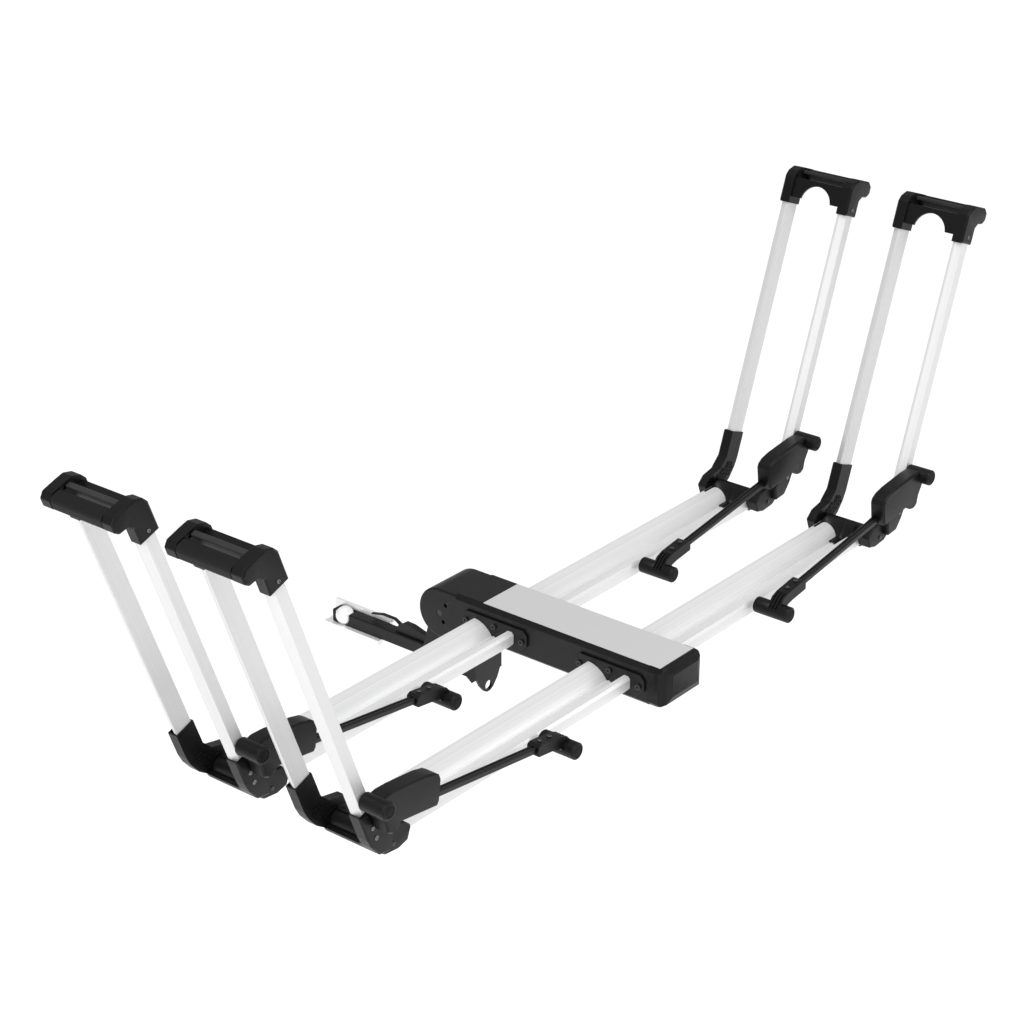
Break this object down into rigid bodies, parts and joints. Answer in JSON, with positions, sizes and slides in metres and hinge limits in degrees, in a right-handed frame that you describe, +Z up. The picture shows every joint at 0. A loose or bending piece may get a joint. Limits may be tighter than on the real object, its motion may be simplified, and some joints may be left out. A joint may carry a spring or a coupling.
{
  "type": "hitch mounted bike rack",
  "caption": "Platform rack that plugs into a hitch receiver: wheel trays on a tilting beam, with folding two-tube wheel arms and swinging side arms.",
  "frame": {"origin": "on the axis of the square shank, in the plane of the receiver's mouth", "axes": "+X to the right of the vehicle, +Y towards the vehicle, +Z up"},
  "size_m": [2.4774, 1.045, 0.952],
  "materials": {
    "matte_black_plastic": "satin moulded black",
    "black_powder_coat": "semi-matt black powder coat",
    "satin_aluminium": "satin anodised, lines along the extrusion",
    "panel_grey": "light grey satin",
    "steel": "zinc plated",
    "black_screw": "black oxide with bright edges",
    "grip_rubber": "soft matt sleeve",
    "trigger_plastic": "dark grey moulded"
  },
  "bodies": {
    "hitch": {"shank": "black_powder_coat", "pivot_bracket": "black_powder_coat", "wedge_channel": "satin_aluminium", "tilt_bolt": "steel"},
    "wedge_bar": {"wedge_draw_bar": "steel"},
    "wedge": {"wedge_ball": "satin_aluminium"},
    "beam": {"beam_tube": "black_powder_coat", "top_panel": "panel_grey", "end_cap": "matte_black_plastic", "pivot_head": "black_powder_coat", "tray_adapter_plates": "black_powder_coat", "tray_adapter_screws": "black_screw", "fold_pins": "steel", "lock_barrel": "matte_black_plastic", "near_left_tray": "satin_aluminium", "near_left_tray_cap": "matte_black_plastic", "near_right_tray": "satin_aluminium", "near_right_tray_cap": "matte_black_plastic", "far_left_tray": "satin_aluminium", "far_left_tray_cap": "matte_black_plastic", "far_right_tray": "satin_aluminium", "far_right_tray_cap": "matte_black_plastic"},
    "release_lever": {"tilt_release_lever": "matte_black_plastic"},
    "latch": {"tilt_latch": "steel"},
    "key": {"lock_key": "steel"},
    "near_left_arm": {"near_left_yoke": "matte_black_plastic", "near_left_arm_tubes": "satin_aluminium", "near_left_head": "matte_black_plastic", "near_left_grip": "grip_rubber"},
    "near_left_trigger_bar": {"near_left_trigger": "trigger_plastic"},
    "near_left_side_arm": {"near_left_side_housing": "matte_black_plastic"},
    "near_left_rod": {"near_left_side_rod": "black_powder_coat", "near_left_side_pad": "matte_black_plastic"},
    "near_right_arm": {"near_right_yoke": "matte_black_plastic", "near_right_arm_tubes": "satin_aluminium", "near_right_head": "matte_black_plastic", "near_right_grip": "grip_rubber"},
    "near_right_trigger_bar": {"near_right_trigger": "trigger_plastic"},
    "near_right_side_arm": {"near_right_side_housing": "matte_black_plastic"},
    "near_right_rod": {"near_right_side_rod": "black_powder_coat", "near_right_side_pad": "matte_black_plastic"},
    "far_left_arm": {"far_left_yoke": "matte_black_plastic", "far_left_arm_tubes": "satin_aluminium", "far_left_head": "matte_black_plastic", "far_left_grip": "grip_rubber"},
    "far_left_trigger_bar": {"far_left_trigger": "trigger_plastic"},
    "far_left_side_arm": {"far_left_side_housing": "matte_black_plastic"},
    "far_left_rod": {"far_left_side_rod": "black_powder_coat", "far_left_side_pad": "matte_black_plastic"},
    "far_right_arm": {"far_right_yoke": "matte_black_plastic", "far_right_arm_tubes": "satin_aluminium", "far_right_head": "matte_black_plastic", "far_right_grip": "grip_rubber"},
    "far_right_trigger_bar": {"far_right_trigger": "trigger_plastic"},
    "far_right_side_arm": {"far_right_side_housing": "matte_black_plastic"},
    "far_right_rod": {"far_right_side_rod": "black_powder_coat", "far_right_side_pad": "matte_black_plastic"}
  },
  "joints": [
    {"name": "hitch_tilt", "type": "hinge", "parent": "hitch", "child": "beam", "pos_m": [0, -0.22, 0.147], "axis": [-1, 0, 0], "range_deg": [-35, 90]},
    {"name": "wedge_tighten", "type": "slide", "parent": "hitch", "child": "wedge_bar", "axis": [0, 1, 0], "range_m": [0, 0.003]},
    {"name": "wedge_slide", "type": "slide", "parent": "hitch", "child": "wedge", "axis": [-1, 0, 0], "range_m": [0, 0.004]},
    {"name": "release_pull", "type": "hinge", "parent": "beam", "child": "release_lever", "pos_m": [0, -0.833, 0.132], "axis": [-1, 0, 0], "range_deg": [0, 30]},
    {"name": "latch_slide", "type": "slide", "parent": "beam", "child": "latch", "axis": [0, -1, 0], "range_m": [0, 0.0083], "stiffness_N_per_m": 900, "springref_m": -0.004},
    {"name": "key_turn", "type": "hinge", "parent": "beam", "child": "key", "pos_m": [-0.852, -0.378, 0.125], "axis": [0, 1, 0], "range_deg": [0, 90]},
    {"name": "near_left_arm_fold", "type": "hinge", "parent": "beam", "child": "near_left_arm", "pos_m": [-0.866, -0.704, 0.163], "axis": [0, 1, 0], "range_deg": [0, 98]},
    {"name": "near_left_trigger_pull", "type": "slide", "parent": "near_left_arm", "child": "near_left_trigger_bar", "axis": [-0.9367, 0, -0.3502], "range_m": [0, 0.007], "stiffness_N_per_m": 600, "springref_m": -0.004},
    {"name": "near_left_side_arm_swing", "type": "hinge", "parent": "near_left_arm", "child": "near_left_side_arm", "pos_m": [-0.92163, -0.704, 0.24896], "axis": [0, -1, 0], "range_deg": [-15, 95]},
    {"name": "near_left_rod_slide", "type": "slide", "parent": "near_left_side_arm", "child": "near_left_rod", "axis": [-0.9911, 0, 0.1331], "range_m": [-0.035, 0.055]},
    {"name": "near_right_arm_fold", "type": "hinge", "parent": "beam", "child": "near_right_arm", "pos_m": [0.866, -0.704, 0.163], "axis": [0, -1, 0], "range_deg": [0, 98]},
    {"name": "near_right_trigger_pull", "type": "slide", "parent": "near_right_arm", "child": "near_right_trigger_bar", "axis": [0.9367, 0, -0.3502], "range_m": [0, 0.007], "stiffness_N_per_m": 600, "springref_m": -0.004},
    {"name": "near_right_side_arm_swing", "type": "hinge", "parent": "near_right_arm", "child": "near_right_side_arm", "pos_m": [0.92163, -0.704, 0.24896], "axis": [0, 1, 0], "range_deg": [-15, 95]},
    {"name": "near_right_rod_slide", "type": "slide", "parent": "near_right_side_arm", "child": "near_right_rod", "axis": [0.9911, 0, 0.1331], "range_m": [-0.035, 0.055]},
    {"name": "far_left_arm_fold", "type": "hinge", "parent": "beam", "child": "far_left_arm", "pos_m": [-0.866, -0.386, 0.163], "axis": [0, 1, 0], "range_deg": [0, 98]},
    {"name": "far_left_trigger_pull", "type": "slide", "parent": "far_left_arm", "child": "far_left_trigger_bar", "axis": [-0.9367, 0, -0.3502], "range_m": [0, 0.007], "stiffness_N_per_m": 600, "springref_m": -0.004},
    {"name": "far_left_side_arm_swing", "type": "hinge", "parent": "far_left_arm", "child": "far_left_side_arm", "pos_m": [-0.92163, -0.386, 0.24896], "axis": [0, -1, 0], "range_deg": [-15, 95]},
    {"name": "far_left_rod_slide", "type": "slide", "parent": "far_left_side_arm", "child": "far_left_rod", "axis": [-0.9911, 0, 0.1331], "range_m": [-0.035, 0.055]},
    {"name": "far_right_arm_fold", "type": "hinge", "parent": "beam", "child": "far_right_arm", "pos_m": [0.866, -0.386, 0.163], "axis": [0, -1, 0], "range_deg": [0, 98]},
    {"name": "far_right_trigger_pull", "type": "slide", "parent": "far_right_arm", "child": "far_right_trigger_bar", "axis": [0.9367, 0, -0.3502], "range_m": [0, 0.007], "stiffness_N_per_m": 600, "springref_m": -0.004},
    {"name": "far_right_side_arm_swing", "type": "hinge", "parent": "far_right_arm", "child": "far_right_side_arm", "pos_m": [0.92163, -0.386, 0.24896], "axis": [0, 1, 0], "range_deg": [-15, 95]},
    {"name": "far_right_rod_slide", "type": "slide", "parent": "far_right_side_arm", "child": "far_right_rod", "axis": [0.9911, 0, 0.1331], "range_m": [-0.035, 0.055]}
  ],
  "couplings": [
    {"joint": "wedge_slide", "follows": "wedge_tighten", "ratio": 1.3333},
    {"joint": "release_pull", "follows": "latch_slide", "rad_per_m": 62.5}
  ]
}
